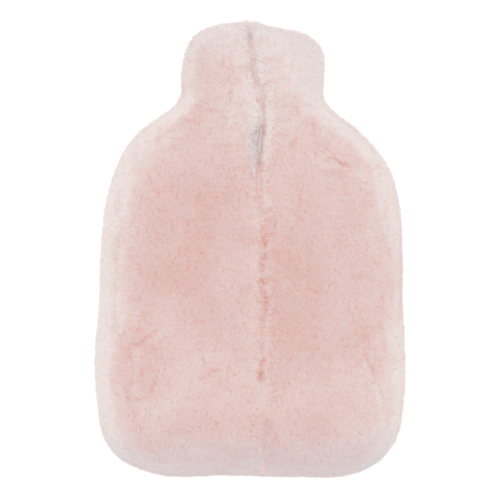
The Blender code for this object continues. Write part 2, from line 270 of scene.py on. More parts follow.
hides = {}
for name, width, *_ in SKINS:
    mesh = remeshed(name, width)
    co, normal = points_of(mesh)
    x, y, z = co.T
    off = facing(co, normal)
    on_back = name != "front_skin"
    wool = smooth((off - BARE_TO) / (WOOLLY_FROM - BARE_TO)) * (off < LEATHER_BACK)
    wool = np.where(off > OPEN_AIR, 1, wool)
    if on_back:  # also on the rounded edges of the halves, up to where they meet
        outer = (y - np.clip(y, *HALVES_SPINE)) * normal[:, 1] + (z - SEAM) * normal[:, 2] > 0
        outer &= (off < LEATHER_BACK) & (np.abs(x - meeting_line(y)) < HALVES_EDGE)
        wool = np.maximum(wool, smooth((0.9 - np.abs(normal[:, 0])) / 0.3) * outer)
    # and round the edges along the side seam, where it closes over the seam
    flat = np.linalg.norm(normal[:, :2], axis=1)
    inside, out = from_outline(co, solid_trees[name])
    at_seam = (np.abs(z - SEAM) < SEAM_BAND) & (inside < WOOL_FOOT + RIM_FOOT)
    wool = np.where(at_seam, np.maximum(wool, smooth((flat - 0.1) / 0.3)), wool)
    # underneath, below 4 mm and facing down, the wool is pressed
    under = smooth((4 - z) / 4) * smooth((-normal[:, 2] - 0.5) / 0.4)
    foot = WOOL_FOOT + RIM_FOOT * outer_rim(co, flat) + (PRESSED_FOOT - WOOL_FOOT) * under
    lumps = sum(height * uneven(co, across, seed) for across, height, seed in FOOT_LUMPS)
    sunk = wool * (foot - lumps * (1 - under))
    for _, *ends, depth, half in FOLDS if on_back else ():
        sunk += FOLD_SHARE * wool * depth * bell(from_segment(co[:, :2], ends) / half)
    drawn_in = np.clip(WOOL_FOOT + RIM_FOOT - inside, 0, None) * at_seam
    co -= np.where(at_seam[:, None], drawn_in[:, None] * out, sunk[:, None] * normal)
    co[:, 2] = np.maximum(co[:, 2], 0.0)
    mesh.vertices.foreach_set("co", (co * MM).ravel())
    mesh.update()
    mesh.shade_smooth()
    put(mesh, "wool", wool)
    put(mesh, "under", under)
    hides[name] = mesh


def add_node(tree, kind, inputs=(), **settings):
    """Adds a node. inputs maps a socket's name or number to a value or to another's output."""
    made = tree.nodes.new(kind)
    for name, value in settings.items():
        setattr(made, name, value)
    for key, value in dict(inputs).items():
        if isinstance(value, bpy.types.NodeSocket):
            tree.links.new(value, made.inputs[key])
        else:
            made.inputs[key].default_value = value
    return made


def new_finish(name):
    """A new material, its node tree, and the place on the piece that its patterns read."""
    finish = bpy.data.materials.new(name)
    finish.use_nodes = True
    tree = finish.node_tree
    return finish, tree, add_node(tree, "ShaderNodeTexCoord").outputs["Object"]


def surface(finish, colour, painted_glow, bump=None, **settings):
    """Links a colour to a material's Principled shader, and a painted glow in that colour that
    stands in for light through the piece. bump is its height, strength and depth in metres."""
    tree = finish.node_tree
    shader = tree.nodes["Principled BSDF"]
    tree.links.new(colour, shader.inputs["Base Color"])
    # painted glow: the piece gives off light in its own colour, though it is no lamp
    tree.links.new(colour, shader.inputs["Emission Color"])
    shader.inputs["Emission Strength"].default_value = painted_glow
    if bump:
        height, strength, depth = bump
        bumps = {"Strength": strength, "Distance": depth, "Height": height}
        tree.links.new(add_node(tree, "ShaderNodeBump", bumps).outputs[0], shader.inputs["Normal"])
    for name, value in settings.items():
        shader.inputs[name.replace("_", " ")].default_value = value


def ramp(tree, factor, *stops):
    """A colour ramp with stops of (place, colour)."""
    made = add_node(tree, "ShaderNodeValToRGB", {0: factor})
    elements = made.color_ramp.elements
    elements[0].position, elements[1].position = stops[0][0], stops[-1][0]
    for place, _ in stops[1:-1]:
        elements.new(place)
    for element, (_, colour) in zip(elements, stops):
        element.color = (*colour, 1)
    return made.outputs[0]


def grain(tree, place, scale, detail):
    """A fine random pattern over the piece."""
    made = add_node(tree, "ShaderNodeTexNoise", {"Vector": place, "Scale": scale, "Detail": detail})
    return made.outputs[0]


def read(tree, name):
    """A value stored on the piece."""
    return add_node(tree, "ShaderNodeAttribute", attribute_name=name).outputs["Fac"]


def mixed(tree, share, first, second):
    """Two colours, mixed by a share that changes over the surface."""
    return add_node(tree, "ShaderNodeMix", {0: share, 6: first, 7: second}, data_type="RGBA").outputs[2]


# The wool's foot outside, which is deeper in colour than the tips and paler with the wool, partly as
# painted rim light, and the suede inside.
foot_finish, tree, place = new_finish("foot of the pink wool")
locks = grain(tree, place, 260, 4)
deep = ramp(tree, locks, (0.3, (0.94, 0.55, 0.47)), (0.7, (0.95, 0.64, 0.57)))
pale_foot = ramp(tree, locks, (0.3, (0.90, 0.74, 0.69)), (0.7, (0.92, 0.80, 0.77)))
tint = mixed(tree, read(tree, "pale"), deep, pale_foot)
surface(foot_finish, tint, 0.2, (locks, 0.6, 0.001), Roughness=1.0, Sheen_Weight=0.3)

suede_finish, tree, place = new_finish("pale suede")
nap = grain(tree, place, 900, 3)
tint = ramp(tree, nap, (0.3, (0.76, 0.55, 0.50)), (0.7, (0.86, 0.66, 0.61)))
surface(suede_finish, tint, 0.5, (nap, 0.3, 0.0003), Roughness=0.95)

skin_pieces = {}
for name, mesh in hides.items():
    mesh.materials.clear()
    mesh.materials.append(foot_finish)
    mesh.materials.append(suede_finish)
    wool = take(mesh, "wool")
    for face in mesh.polygons:
        face.material_index = int(max(wool[k] for k in face.vertices) < 0.2)
    skin_pieces[name] = show(name.replace("_skin", "_hide"), mesh)

# ------------------------------
# The zip. A pale grey one, sewn under the leather edges of the back's halves: two woven
# tapes, each with a beaded edge that carries moulded teeth, and a painted slider whose
# narrow pull lies in the parted wool. All of it but the pull is hidden by the wool.
TAPE_HALF, TAPE_THICK = 12.0, 0.7
# the right tape's outline from its beaded edge: x from the zip's middle, z from the tape's top
TAPE_SECTION = (
    (1.3, -0.75), (1.3, -0.05), (1.8, 0.35), (2.4, 0.35), (2.9, 0.0), (5.0, 0.0), (7.5, 0.0),
    (10.0, 0.0), (TAPE_HALF, -0.15), (TAPE_HALF, -TAPE_THICK), (2.9, -TAPE_THICK),
)
TAPE_ROWS = 110
TOOTH_PITCH, TOOTH_SIZE, TOOTH_ROUND = 1.3, (3.0, 0.95, 1.5), 0.28
TEETH_LIFT, TEETH_APART = 0.75, 0.85  # over the tape's top, and sideways from the middle

zip_corners = np.array([v.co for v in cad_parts["zip_tape"].data.vertices]) / MM
zip_rows = []  # y, x of the zip's middle, and the tape's top
for y in np.unique(np.round(zip_corners[:, 1], 1)):
    row = zip_corners[np.abs(zip_corners[:, 1] - y) < 0.06]
    middle = (row[:, 0].min() + row[:, 0].max()) / 2
    edge = row[np.abs(row[:, 0] - middle) > TAPE_HALF - 0.5]
    zip_rows.append((y, middle, edge[:, 2].max()))
zip_rows = np.array(zip_rows)
zip_start, zip_end = zip_rows[0, 0], zip_rows[-1, 0]


def on_zip(y, x=0.0, lift=0.0):
    """A point of the zip: x across from its middle and lift above its tape's top."""
    middle, top = (np.interp(y, zip_rows[:, 0], zip_rows[:, k]) for k in (1, 2))
    return Vector((middle + x, y, top + lift)) * MM


def add_piece(name, made, finish):
    """Turns a bmesh into a finished piece of the zip."""
    bmesh.ops.remove_doubles(made, verts=made.verts, dist=1e-7)
    bmesh.ops.recalc_face_normals(made, faces=made.faces)
    mesh = bpy.data.meshes.new(name)
    made.to_mesh(mesh)
    made.free()
    mesh.materials.append(finish)
    mesh.shade_smooth()
    mesh.set_sharp_from_angle(angle=math.radians(50))
    piece = show(name, mesh)
    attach(piece, "root")
    return piece


def round_edges(piece, radius):
    """Rounds a piece's edges by a radius in mm."""
    rounded = piece.modifiers.new("rounded edges", "BEVEL")
    rounded.width, rounded.segments, rounded.limit_method = radius * MM, 2, "ANGLE"


def maths(tree, operation, *values):
    """Works out one value from others."""
    return add_node(tree, "ShaderNodeMath", dict(enumerate(values)), operation=operation).outputs[0]


tape_finish, tree, place = new_finish("grey woven tape")
twill = add_node(
    tree, "ShaderNodeTexWave", {"Vector": place, "Scale": 620, "Distortion": 0.6},
    bands_direction="DIAGONAL", wave_profile="SIN",
).outputs["Fac"]
slub = grain(tree, place, 340, 4)
weave = maths(tree, "MULTIPLY", twill, slub)
tint = ramp(tree, weave, (0.1, (0.36, 0.33, 0.34)), (0.6, (0.52, 0.48, 0.49)))
surface(tape_finish, tint, 0.35, (weave, 0.6, 0.0003), Roughness=0.85, Sheen_Weight=0.3)


def plain_finish(name, pale, dark, roughness, painted_glow):
    """Smooth paint or plastic, a little uneven in tone."""
    finish, tree, place = new_finish(name)
    rub = grain(tree, place, 420, 5)
    tint = ramp(tree, rub, (0.35, dark), (0.65, pale))
    surface(finish, tint, painted_glow, (rub, 0.15, 0.0002), Roughness=roughness)
    return finish


# the last number of each is its painted glow
paint_finish = plain_finish("grey painted metal", (0.84, 0.78, 0.79), (0.74, 0.68, 0.70), 0.5, 0.1)
teeth_finish = plain_finish("moulded teeth", (0.50, 0.47, 0.48), (0.40, 0.38, 0.39), 0.4, 0.4)

made = bmesh.new()
for side in (-1, 1):
    rings = []
    for y in np.linspace(zip_start + 0.5, zip_end - 0.5, TAPE_ROWS):
        ripple = 0.12 * math.sin(y * 0.8 + side) + 0.1 * math.sin(y * 0.37)
        ring = [on_zip(y, side * x, z + ripple * min(1, x / TAPE_HALF)) for x, z in TAPE_SECTION]
        rings.append([made.verts.new(point) for point in ring])
    for first, second in zip(rings, rings[1:]):
        for k in range(len(TAPE_SECTION)):
            made.faces.new([first[k - 1], first[k], second[k], second[k - 1]])
    for end in (rings[0], rings[-1]):
        made.faces.new(end)
tapes = add_piece("zip_tapes", made, tape_finish)
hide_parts("zip_tape")

# One tooth: a bar with rounded edges.
made = bmesh.new()
bmesh.ops.create_cube(made, size=1)
bmesh.ops.scale(made, vec=Vector(TOOTH_SIZE) * MM, verts=made.verts)
bmesh.ops.bevel(
    made, geom=made.edges[:], offset=TOOTH_ROUND * MM, segments=1, profile=0.5, affect="EDGES"
)
tooth = bpy.data.meshes.new("tooth")
made.to_mesh(tooth)
made.free()
tooth_piece = show("tooth", tooth)
teeth_line = bpy.data.meshes.new("teeth_line")
stations = np.arange(zip_start + 2, zip_end - 2, TOOTH_PITCH)
teeth_line.from_pydata([on_zip(y, 0, TEETH_LIFT) for y in stations], [], [])
teeth = show("zip_teeth", teeth_line)


def new_tree(name, sockets, result):
    """A Geometry Nodes tree and its inputs, each with a name, a kind and maybe a usual value."""
    tree = bpy.data.node_groups.new(name, "GeometryNodeTree")
    for label, kind, *value in sockets:
        socket = tree.interface.new_socket(label, in_out="INPUT", socket_type="NodeSocket" + kind)
        if value:
            socket.default_value = value[0]
    tree.interface.new_socket(result, in_out="OUTPUT", socket_type="NodeSocketGeometry")
    return tree, add_node(tree, "NodeGroupInput").outputs


# The teeth stand along the line, and step to the left and to the right by turns.
TEETH_SOCKETS = (("Line", "Geometry"), ("Sideways", "Float"), ("Finish", "Material"))
teeth_tree, row_given = new_tree("zip teeth", TEETH_SOCKETS, "Teeth")


def teeth_node(kind, inputs=(), **settings):
    return add_node(teeth_tree, kind, inputs, **settings).outputs[0]


count = teeth_node("GeometryNodeInputIndex")
sign = maths(teeth_tree, "MULTIPLY_ADD", maths(teeth_tree, "MODULO", count, 2.0), 2.0, -1.0)
sideways = maths(teeth_tree, "MULTIPLY", sign, row_given["Sideways"])
step = teeth_node("ShaderNodeCombineXYZ", {0: sideways})
row = teeth_node("GeometryNodeSetPosition", {"Geometry": row_given["Line"], "Offset": step})
one = add_node(teeth_tree, "GeometryNodeObjectInfo", {"Object": tooth_piece}).outputs["Geometry"]
row = teeth_node("GeometryNodeInstanceOnPoints", {"Points": row, "Instance": one})
row = teeth_node("GeometryNodeRealizeInstances", {0: row})
row = teeth_node("GeometryNodeSetMaterial", {"Geometry": row, "Material": row_given["Finish"]})
add_node(teeth_tree, "NodeGroupOutput", {0: row})


def apply_nodes(piece, node_tree, **inputs):
    """Runs a node tree on a piece with these inputs, and leaves the result as its plain mesh."""
    modifier = piece.modifiers.new("made", "NODES")
    modifier.node_group = node_tree
    for item in node_tree.interface.items_tree:
        if item.in_out == "INPUT" and item.name in inputs:
            modifier[item.identifier] = inputs[item.name]
    graph = bpy.context.evaluated_depsgraph_get()
    finished = bpy.data.meshes.new_from_object(piece.evaluated_get(graph))
    piece.modifiers.clear()
    piece.data = finished
    finished.name = piece.name


apply_nodes(teeth, teeth_tree, Sideways=TEETH_APART * MM, Finish=teeth_finish)
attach(teeth, "root")
bpy.data.objects.remove(tooth_piece)

# The slider: a shield-shaped plate with a narrower one under it, and a bail over its top.
SLIDER_LIFT = 1.95  # the lower plate's bottom, over the tape's top
# half the shield's outline from its top: x and y from the slider's middle
SHIELD = ((0, 5.3), (2.0, 5.2), (3.7, 4.2), (4.1, 2.2), (3.5, -1.0), (2.9, -4.2), (2.2, -5.3))
PLATES = ((1.0, 1.2, 1.0), (0.0, 1.0, 0.9125))  # lift, thickness and share of the shield's width
BAIL = ((-3.6, 2.1), (-3.5, 3.0), (-2.6, 3.5), (1.2, 3.5), (2.4, 3.2), (2.9, 2.1))  # y and z
BAIL_HALF, BAIL_THICK = 0.7, 0.55
low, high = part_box("zip_slider")
slider_middle = (low + high) / 2


def on_slider(x, y, z):
    """A point of the slider: x and y from its middle, z over the teeth, all in mm."""
    y_real = slider_middle.y + y * MM
    return Vector((slider_middle.x + x * MM, y_real, on_zip(y_real / MM).z + (SLIDER_LIFT + z) * MM))


outline = list(SHIELD) + [(-x, y) for x, y in reversed(SHIELD) if x]
made = bmesh.new()
for lift, thick, share in PLATES:
    lower = [made.verts.new(on_slider(x * share, y, lift)) for x, y in outline]
    upper = [made.verts.new(on_slider(x * share, y, lift + thick)) for x, y in outline]
    made.faces.new(lower)
    made.faces.new(upper)
    for k in range(len(outline)):
        made.faces.new([lower[k - 1], lower[k], upper[k], upper[k - 1]])
for first, second in zip(BAIL, BAIL[1:]):
    corners = []
    for y, z in (first, second):
        for x in (-BAIL_HALF, BAIL_HALF):
            for deep in (0.0, -BAIL_THICK):
                corners.append(made.verts.new(on_slider(x, y, z + deep)))
    a, b, c, d, e, f, g, h = corners
    for face in ((a, c, g, e), (b, f, h, d), (a, e, f, b), (c, d, h, g), (a, b, d, c), (e, g, h, f)):
        made.faces.new(face)
slider = add_piece("zip_slider_body", made, paint_finish)
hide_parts("zip_slider")
round_edges(slider, 0.2)

# The pull: a narrow painted tab with an eye, its edges rounded.
made = welded("zip_pull")
bmesh.ops.dissolve_limit(made, angle_limit=math.radians(1), verts=made.verts, edges=made.edges)
pull = add_piece("zip_pull_tab", made, paint_finish)
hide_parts("zip_pull")
round_edges(pull, 0.35)

# ------------------------------
# The standing wool. Sheared sheepskin wool, some 17 mm long, of which the upper half shows.
# It stands close, gathers in small tufts, and is brushed down and outwards from the zip.
FIBRE = 8.2  # how much of each fibre stands clear of the dense foot
FIBRE_WIDTH = 0.95
PROUD = 1.0  # how far the tips stand past the CAD outline
# part of each half, y from, y to, fibres to a square mm
BACK_PARTS = (("neck_end", 10, 400, 3.35), ("middle", -80, 10, 3.55), ("base_end", -400, -80, 3.55))
SIDES_FIBRES = 2.0  # on the front skin's sides
UNDER_FIBRE, UNDER_WIDTH = 7.0, 2.2  # the pressed wool underneath: shorter, broader and fewer
UNDER_FIBRES = 0.25
# Broad places where the wool is deeper or paler: place, x, y, half width, half height, depth.
# The deeper base end and right edge and the paler left edge and neck are painted light and
# shade, as from above the neck's left.
TINTS = (
    ("right side", 100, -45, 26, 90, 0.3),
    ("left shoulder, outer side", -82, 100, 34, 34, 0.3),
    ("neck's left", -32, 150, 26, 34, 0.3),
    ("below the seam's end", 10, -128, 6, 20, 0.4),
    ("left of the middle", -48, 5, 48, 75, 0.75),
    ("right of the middle", 42, -30, 34, 80, 0.75),
    ("left of the neck", -43, 140, 12, 24, 0.5),
    ("left hip", -95, -85, 20, 35, 0.4),
    ("beside the zip", 5, 20, 7, 120, -0.3),
    ("base", 0, -182, 130, 16, 0.9),
    ("low", 0, -150, 110, 20, 0.3),
    ("left edge", -122, -20, 12, 90, -0.6),
    ("right edge", 116, -30, 16, 90, 0.4),
    ("shoulder by the zip", 5, 100, 14, 30, -0.5),
    ("neck", 10, 150, 45, 40, -0.65),
    ("left shoulder", -70, 92, 32, 26, -0.55),
    ("right hip", 105, -120, 25, 40, -0.2),
)

# Thin cracks where the wool lies apart, painted deeper in colour, partly its roots' colour and
# partly painted shade: place, points of x and y, half the width, and how open it is.
CRACKS = (
    ("left side", ((-109.5, 12), (-111, -8), (-112.5, -30), (-112, -50), (-111, -70)), 0.7, 0.28),
    ("left side, low end", ((-113, -48), (-112, -58), (-109.5, -70), (-106, -72)), 0.7, 0.48),
    ("left edge", ((-113, 36), (-109, 26), (-106.5, 14), (-104, 2)), 0.7, 0.4),
    ("left hip, slanting", ((-102, -77), (-93, -79), (-86, -73), (-75, -66)), 0.75, 0.76),
    ("left hip, upright", ((-100, -78), (-99, -90), (-97, -100), (-99, -113)), 0.7, 0.68),
    ("left hip, lower", ((-88, -96), (-90, -106), (-82, -114)), 0.65, 0.48),
    ("left hip, level", ((-98, -122), (-90, -123), (-81, -119), (-78, -106)), 0.7, 0.56),
    ("left of the middle", ((-39, -88), (-36, -97), (-29, -101), (-22, -99)), 0.7, 0.6),
    ("left of the middle, spot", ((-78, -18), (-76, -22), (-77, -26)), 1.0, 0.72),
    ("right shoulder", ((60, 73), (68, 75), (76, 71), (86, 68)), 0.75, 0.68),
    ("right shoulder, low", ((66, 64), (75, 62), (84, 66)), 0.7, 0.48),
    ("right hip, slanting", ((94, -84), (99, -94), (104, -106), (113, -124)), 0.75, 0.48),
    ("right of the zip", ((20, 29), (21, 22), (19, 14)), 0.75, 0.64),
    ("right of the zip, level", ((25, 18), (33, 16), (40, 19)), 0.7, 0.48),
    ("end of the seam", ((12.2, -86), (10.8, -92), (9.0, -98), (9.0, -104), (10.4, -110)), 1.0, 1.6),
    ("right of the pull", ((11.0, 104), (10.8, 94), (10.3, 84)), 1.0, 1.0),
    ("below the pull", ((10.2, 83), (9.6, 74), (8.8, 65)), 0.8, 0.8),
    ("left of the pull", ((2.0, 97), (3.8, 91), (6.0, 85)), 0.8, 0.5),
    ("neck lock, upper", ((-17, 147), (-18, 140), (-17, 134)), 0.8, 0.4),
    ("neck lock, lower", ((-17, 132), (-18, 124), (-16, 118)), 0.8, 0.32),
    ("neck lock, slanting", ((-11, 115), (-8, 119), (-3, 122)), 0.8, 0.48),
)
CRACK_STEP, CRACK_WANDER = 0.5, 1.3
# Short cracks all over: how many, how far from the middle, length, bend, turn, half width, opening
SMALL_CRACKS, SMALL_WITHIN = 420, (112, 165)
SMALL_LENGTH, SMALL_BEND, SMALL_TURN = (3, 9), 0.5, 0.8
SMALL_HALF, SMALL_OPEN = (0.45, 0.75), (0.15, 0.6)
# How open the wool lies where the halves meet: y and share.
MEETING_OPEN = (
    (190, 0.4), (150, 0.65), (110, 0.6), (62, 0.8), (22, 0.9),
    (12, 1.5), (-46, 1.7), (-52, 0.8), (-84, 0.6),
)
MEETING_HALF, MEETING_WANDER, MEETING_ENDS = 0.8, 0.9, (186, -84)
TOPS_LEFT = 1.2  # the tips meet this far to the left of the line that the leather meets on
crack_rng = np.random.default_rng(12)
crack_points = []


def lay_crack(corners, half, opened):
    """Adds points along a wandering line through the corners."""
    corners = np.array(corners, float)
    lengths = np.r_[0, np.cumsum(np.linalg.norm(np.diff(corners, axis=0), axis=1))]
    steps = np.arange(0, lengths[-1], CRACK_STEP)
    x, y = (np.interp(steps, lengths, corners[:, k]) for k in (0, 1))
    wander = np.array([noise.noise(Vector((s / 4.0, corners[0, 0], corners[0, 1]))) for s in steps])
    x, y = x + CRACK_WANDER * wander, y + CRACK_WANDER * np.roll(wander, 7)
    fade = np.minimum(1, np.minimum(steps, lengths[-1] - steps) / 4 + 0.15)
    patchy = 0.65 + 0.9 * np.array([noise.noise(Vector((s / 6.0, corners[0, 1], 3.3))) for s in steps])
    for point in zip(x, y, half * (0.6 + 0.4 * fade), opened * fade * patchy):
        crack_points.append(point)


for _, corners, half, opened in CRACKS:
    lay_crack(corners, half, opened)
for _ in range(SMALL_CRACKS):
    middle = np.array([crack_rng.uniform(-far, far) for far in SMALL_WITHIN])
    turn = crack_rng.normal(0, SMALL_TURN)
    length, bend = crack_rng.uniform(*SMALL_LENGTH), crack_rng.uniform(-SMALL_BEND, SMALL_BEND)
    half, opened = crack_rng.uniform(*SMALL_HALF), crack_rng.uniform(*SMALL_OPEN)
    run = length * np.array([math.cos(turn), math.sin(turn)]) / 2
    bulge = bend * length * np.array([-math.sin(turn), math.cos(turn)])
    lay_crack((middle - run, middle + bulge, middle + run), half, opened)
for y in np.arange(*MEETING_ENDS, -CRACK_STEP):
    opened = np.interp(-y, [-at for at, _ in MEETING_OPEN], [share for _, share in MEETING_OPEN])
    opened *= np.interp(noise.noise(Vector((0.4, y / 9, 0))), (-0.5, 0.5), (0.7, 1.05))
    wander = MEETING_WANDER * noise.noise(Vector((1.7, y / 4, 0)))
    crack_points.append((meeting_line(y) - TOPS_LEFT + wander, y, MEETING_HALF, opened))
crack_points = np.array(crack_points)
cracks_mesh = bpy.data.meshes.new("cracks")
flat_points = np.column_stack([crack_points[:, :2], np.zeros(len(crack_points))]) * MM
cracks_mesh.from_pydata(flat_points.tolist(), [], [])
put(cracks_mesh, "half", crack_points[:, 2] * MM)
put(cracks_mesh, "opened", crack_points[:, 3])
cracks_piece = show("cracks", cracks_mesh)

# Geometry Nodes grow the wool: each fibre stands on a random point of the skin, leans as the
# skin says and a little at random, and its tip is drawn to the tip of the nearest tuft.
WOOL_SOCKETS = (
    ("Skin", "Geometry"),
    ("Fibres", "Float"),  # to a square metre, as the tufts
    ("Tufts", "Float", 1.5e5),
    ("Length", "Float", FIBRE * MM),
    ("Width", "Float", FIBRE_WIDTH * MM),
    ("Gathering", "Float", 0.32),
    ("Unruliness", "Float", 0.28),
    ("Tuft unruliness", "Float", 0.34),
    ("Bow", "Float", 0.3),
    ("Cracks", "Float", 1.0),
    ("Seed", "Int"),
    ("Wool", "Material"),
)
wool_tree, given = new_tree("standing wool", WOOL_SOCKETS, "Wool")


def wool_node(kind, inputs=(), output=0, **settings):
    return add_node(wool_tree, kind, inputs, **settings).outputs[output]


def worked(operation, *values):
    return maths(wool_tree, operation, *values)


def times(first, *others):
    for other in others:
        first = worked("MULTIPLY", first, other)
    return first


def vectors(operation, first, second=(0, 0, 0), scale=1.0):
    output = "Value" if operation in ("LENGTH", "DOT_PRODUCT") else "Vector"
    inputs = {0: first, 1: second, 3: scale}
    return wool_node("ShaderNodeVectorMath", inputs, output, operation=operation)


def joined(x=0.0, y=0.0, z=0.0):
    return wool_node("ShaderNodeCombineXYZ", {0: x, 1: y, 2: z})


def attribute(name, kind="FLOAT"):
    return wool_node("GeometryNodeInputNamedAttribute", {"Name": name}, data_type=kind)


def scattered(low, high, seed):
    """A random value for each point."""
    inputs = {2: low, 3: high, "Seed": worked("ADD", given["Seed"], seed)}
    return wool_node("FunctionNodeRandomValue", inputs, 1, data_type="FLOAT")


def strayed(way, seed, unruliness):
    """A way that strays at random, one unit long."""
    inputs = {0: (-1, -1, -1), 1: (1, 1, 1), "Seed": worked("ADD", given["Seed"], seed)}
    stray = wool_node("FunctionNodeRandomValue", inputs, data_type="FLOAT_VECTOR")
    return vectors("NORMALIZE", vectors("ADD", way, vectors("SCALE", stray, scale=unruliness)))


def sample(points, index, value, kind="FLOAT_VECTOR"):
    return wool_node("GeometryNodeSampleIndex", {0: points, 1: value, 2: index}, data_type=kind)


def scatter(density, seed):
    """Random points on the skin, closer together where its growth is more."""
    inputs = {"Mesh": given["Skin"], "Density": times(density, attribute("growth")), "Seed": seed}
    return wool_node("GeometryNodeDistributePointsOnFaces", inputs, "Points")


def stored(geometry, name, value, kind="FLOAT", domain="POINT"):
    inputs = {"Geometry": geometry, "Name": name, "Value": value}
    return wool_node("GeometryNodeStoreNamedAttribute", inputs, data_type=kind, domain=domain)


points = scatter(given["Fibres"], given["Seed"])
tufts = scatter(given["Tufts"], worked("ADD", given["Seed"], 71))
here = wool_node("GeometryNodeInputPosition")
stand, lie = attribute("stand", "FLOAT_VECTOR"), attribute("lie", "FLOAT_VECTOR")
nearest = wool_node("GeometryNodeSampleNearest", {0: tufts, 1: here})

# where each fibre's tip and its tuft's tip are
leaning = vectors("ADD", stand, lie)
fibre_way = strayed(leaning, 3, given["Unruliness"])
tuft_way = strayed(leaning, 5, given["Tuft unruliness"])
full_length = times(given["Length"], attribute("reach"))
shorter = times(worked("POWER", scattered(0.0, 1.0, 7), attribute("few_long")), attribute("ragged"))
fibre_length = times(full_length, worked("SUBTRACT", 1.08, shorter))
tuft_length = times(full_length, scattered(0.9, 1.1, 9))
own_tip = vectors("ADD", here, vectors("SCALE", fibre_way, scale=fibre_length))
tuft_tip = vectors("ADD", here, vectors("SCALE", tuft_way, scale=tuft_length))
tuft_tip = sample(tufts, nearest, tuft_tip)
gather = times(given["Gathering"], scattered(0.55, 1.0, 11), attribute("gather"))
tip = wool_node("ShaderNodeMix", {0: gather, 4: own_tip, 5: tuft_tip}, 1, data_type="VECTOR")

# the cracks: the tips draw back from them and sink there
crack_set = wool_node("GeometryNodeObjectInfo", {"Object": cracks_piece}, "Geometry")
FLAT = (1, 1, 0)


def nearest_crack(flat_place):
    """The way from the nearest crack to a place, the crack's half width, and how much of its
    opening is felt at that place."""
    crack = wool_node("GeometryNodeSampleNearest", {0: crack_set, 1: flat_place})
    half = sample(crack_set, crack, attribute("half"), "FLOAT")
    opened = sample(crack_set, crack, attribute("opened"), "FLOAT")
    away = vectors("SUBTRACT", flat_place, sample(crack_set, crack, here))
    share = worked("DIVIDE", vectors("LENGTH", away), half)
    return away, half, times(worked("EXPONENT", times(share, share, -1.0)), opened)


tip_flat = vectors("MULTIPLY", tip, FLAT)
from_crack, crack_half, near = nearest_crack(tip_flat)
near = times(near, given["Cracks"])
back = vectors("SCALE", vectors("NORMALIZE", from_crack), scale=times(near, crack_half, 0.25))
tip = vectors("ADD", vectors("ADD", tip, back), joined(z=times(near, -1.3 * MM)))

# the painted crack shade, partly the roots' deeper colour: by the fibre's tip, and near the
# line where the halves meet, which the tips cross, by its middle
middle_flat = vectors("SCALE", vectors("ADD", tip_flat, vectors("MULTIPLY", here, FLAT)), scale=0.5)
by_line = attribute("by_line")
by_middle = times(nearest_crack(middle_flat)[2], by_line)
by_tip = times(near, worked("SUBTRACT", 1.0, times(by_line, 0.6)))

# how each fibre is turned, and how wide it is
axis = vectors("SUBTRACT", tip, here)
span = vectors("LENGTH", axis)
facing_up = vectors("ADD", stand, (0.0, 0.0, 0.7))
turned = wool_node(
    "FunctionNodeAxesToRotation", {0: axis, 1: facing_up}, primary_axis="Z", secondary_axis="Y"
)
roll = wool_node("FunctionNodeAxisAngleToRotation", {0: (0, 0, 1), 1: scattered(-1.2, 1.2, 13)})
turned = wool_node("FunctionNodeRotateRotation", {0: turned, 1: roll}, rotation_space="LOCAL")
across_size = times(given["Width"], scattered(0.7, 1.25, 15), attribute("coarse"))
size = joined(across_size, span, span)

# how near each fibre stands to the edge of its tuft, from 0 to 1: the painted shade between tufts
from_tuft = vectors("LENGTH", vectors("SUBTRACT", here, sample(tufts, nearest, here)))
border = worked("DIVIDE", worked("SUBTRACT", from_tuft, 0.8 * MM), 1.2 * MM)
border = worked("MINIMUM", worked("MAXIMUM", border, 0.0), 1.0)

for name, value in (
    ("tuft_tint", sample(tufts, nearest, scattered(0, 1, 17), "FLOAT")),
    ("fibre_tint", scattered(0, 1, 19)),
    ("number", wool_node("GeometryNodeInputIndex")),
    ("blush", worked("MAXIMUM", by_middle, by_tip)),
    ("border", border),
):
    points = stored(points, name, value)

# One fibre: a leaf of two triangles, folded at its widest place, one unit long.
WIDEST = 0.52  # of the way up
LEAF = ((0, 0, 0), (-0.5, 1, WIDEST), (0.5, 1, WIDEST), (0, 0, 1))
leaf = bpy.data.meshes.new("fibre")
leaf.from_pydata(LEAF, [], [(0, 2, 1), (1, 2, 3)])
put(leaf, "along", np.array([z for _, _, z in LEAF], float))
put(leaf, "across", np.array([x + 0.5 for x, _, _ in LEAF], float))
leaf_piece = show("fibre", leaf)
leaf_mesh = wool_node("GeometryNodeObjectInfo", {"Object": leaf_piece}, "Geometry")
bowed = vectors("MULTIPLY", here, joined(1.0, given["Bow"], 1.0))
leaf_mesh = wool_node("GeometryNodeSetPosition", {"Geometry": leaf_mesh, "Position": bowed})

fibres = wool_node(
    "GeometryNodeInstanceOnPoints",
    {"Points": points, "Instance": leaf_mesh, "Rotation": turned, "Scale": size},
)
fibres = wool_node("GeometryNodeRealizeInstances", {0: fibres})
split = add_node(wool_tree, "ShaderNodeSeparateXYZ", {0: here}).outputs
on_table = joined(split[0], split[1], worked("MAXIMUM", split[2], 0.2 * MM))
fibres = wool_node("GeometryNodeSetPosition", {"Geometry": fibres, "Position": on_table})

# the fibres face outwards and are shaded with the skin, because one flat fibre stands for many
own = wool_node("GeometryNodeInputNormal")
soft_normal = vectors("ADD", stand, joined(z=attribute("upwards")))
turned_away = worked("LESS_THAN", vectors("DOT_PRODUCT", own, soft_normal), 0.0)
fibres = wool_node("GeometryNodeFlipFaces", {"Mesh": fibres, "Selection": turned_away})
softened = vectors("NORMALIZE", vectors("ADD", vectors("SCALE", own, scale=0.12), soft_normal))
fibres = wool_node("GeometryNodeSetMeshNormal", {0: fibres, 1: softened}, mode="FREE", domain="POINT")
